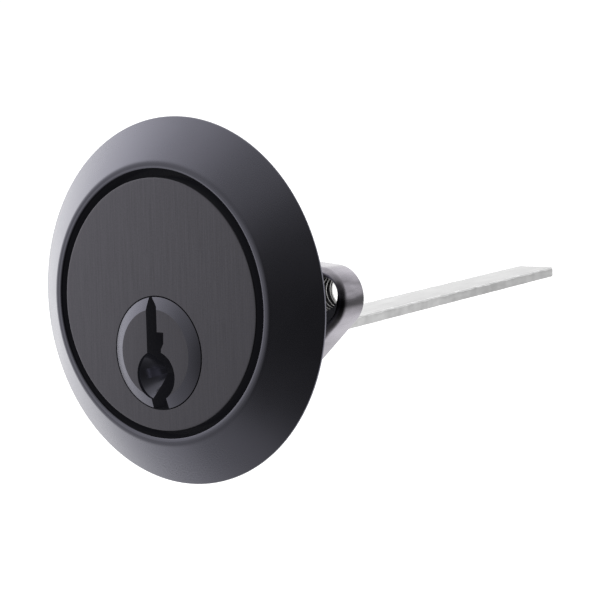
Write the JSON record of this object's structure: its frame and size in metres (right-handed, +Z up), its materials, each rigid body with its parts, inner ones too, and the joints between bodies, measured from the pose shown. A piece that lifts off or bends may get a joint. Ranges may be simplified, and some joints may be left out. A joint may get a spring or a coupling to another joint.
{
  "type": "rim cylinder lock",
  "caption": "Pin-tumbler rim cylinder with a conical black rose, a keyed plug in a round brushed face, two threaded fixing lugs and a long flat tail bar.",
  "frame": {"origin": "centre of the rose's back plane, where the lock meets the outside of the door", "axes": "+Y along the plug's axis from the keyed face towards the tail, into the door; +Z up, pin tower above the keyway; +X to the right of someone facing the keyhole"},
  "size_m": [0.0454, 0.0851, 0.0454],
  "materials": {
    "rose_black": "satin black plating",
    "housing_black": "brushed black face, bright nickel behind",
    "plug_black": "brushed black face",
    "brass": "machined",
    "nickel_silver": "turned",
    "spring_steel": "bright wire",
    "steel": "turned, bright",
    "zinc": "zinc plated, sheared edges"
  },
  "bodies": {
    "housing": {"cylinder_body": "housing_black", "rose": "rose_black", "chamber_cover": "brass", "pin_spring_1": "spring_steel", "pin_spring_2": "spring_steel", "pin_spring_3": "spring_steel", "pin_spring_4": "spring_steel", "pin_spring_5": "spring_steel"},
    "plug": {"plug": "plug_black", "tail_retainer": "steel", "tail_screw_upper": "steel", "tail_screw_lower": "steel"},
    "tail": {"tail_bar": "zinc"},
    "driver_1": {"driver_pin_1": "nickel_silver"},
    "key_pin_1": {"key_pin_1": "brass"},
    "driver_2": {"driver_pin_2": "nickel_silver"},
    "key_pin_2": {"key_pin_2": "brass"},
    "driver_3": {"driver_pin_3": "nickel_silver"},
    "key_pin_3": {"key_pin_3": "brass"},
    "driver_4": {"driver_pin_4": "nickel_silver"},
    "key_pin_4": {"key_pin_4": "brass"},
    "driver_5": {"driver_pin_5": "nickel_silver"},
    "key_pin_5": {"key_pin_5": "brass"}
  },
  "joints": [
    {"name": "plug_turn", "type": "hinge", "parent": "housing", "child": "plug", "pos_m": [0, -0.0044, -0.00594], "axis": [0, 1, 0], "continuous": true},
    {"name": "tail_tilt", "type": "hinge", "parent": "plug", "child": "tail", "pos_m": [0, 0.01955, -0.0063], "axis": [1, 0, 0], "range_deg": [-5.5, 3]},
    {"name": "driver_1_lift", "type": "slide", "parent": "housing", "child": "driver_1", "axis": [0, 0, 1], "range_m": [0, 0.0011], "stiffness_N_per_m": 300, "deforming": ["pin_spring_1"]},
    {"name": "key_pin_1_drop", "type": "slide", "parent": "plug", "child": "key_pin_1", "axis": [0, 0, 1], "range_m": [-0.00138, 0]},
    {"name": "driver_2_lift", "type": "slide", "parent": "housing", "child": "driver_2", "axis": [0, 0, 1], "range_m": [0, 0.0011], "stiffness_N_per_m": 300, "deforming": ["pin_spring_2"]},
    {"name": "key_pin_2_drop", "type": "slide", "parent": "plug", "child": "key_pin_2", "axis": [0, 0, 1], "range_m": [-0.00258, 0]},
    {"name": "driver_3_lift", "type": "slide", "parent": "housing", "child": "driver_3", "axis": [0, 0, 1], "range_m": [0, 0.0011], "stiffness_N_per_m": 300, "deforming": ["pin_spring_3"]},
    {"name": "key_pin_3_drop", "type": "slide", "parent": "plug", "child": "key_pin_3", "axis": [0, 0, 1], "range_m": [-0.00078, 0]},
    {"name": "driver_4_lift", "type": "slide", "parent": "housing", "child": "driver_4", "axis": [0, 0, 1], "range_m": [0, 0.0011], "stiffness_N_per_m": 300, "deforming": ["pin_spring_4"]},
    {"name": "key_pin_4_drop", "type": "slide", "parent": "plug", "child": "key_pin_4", "axis": [0, 0, 1], "range_m": [-0.00198, 0]},
    {"name": "driver_5_lift", "type": "slide", "parent": "housing", "child": "driver_5", "axis": [0, 0, 1], "range_m": [0, 0.0011], "stiffness_N_per_m": 300, "deforming": ["pin_spring_5"]},
    {"name": "key_pin_5_drop", "type": "slide", "parent": "plug", "child": "key_pin_5", "axis": [0, 0, 1], "range_m": [-0.00288, 0]}
  ]
}
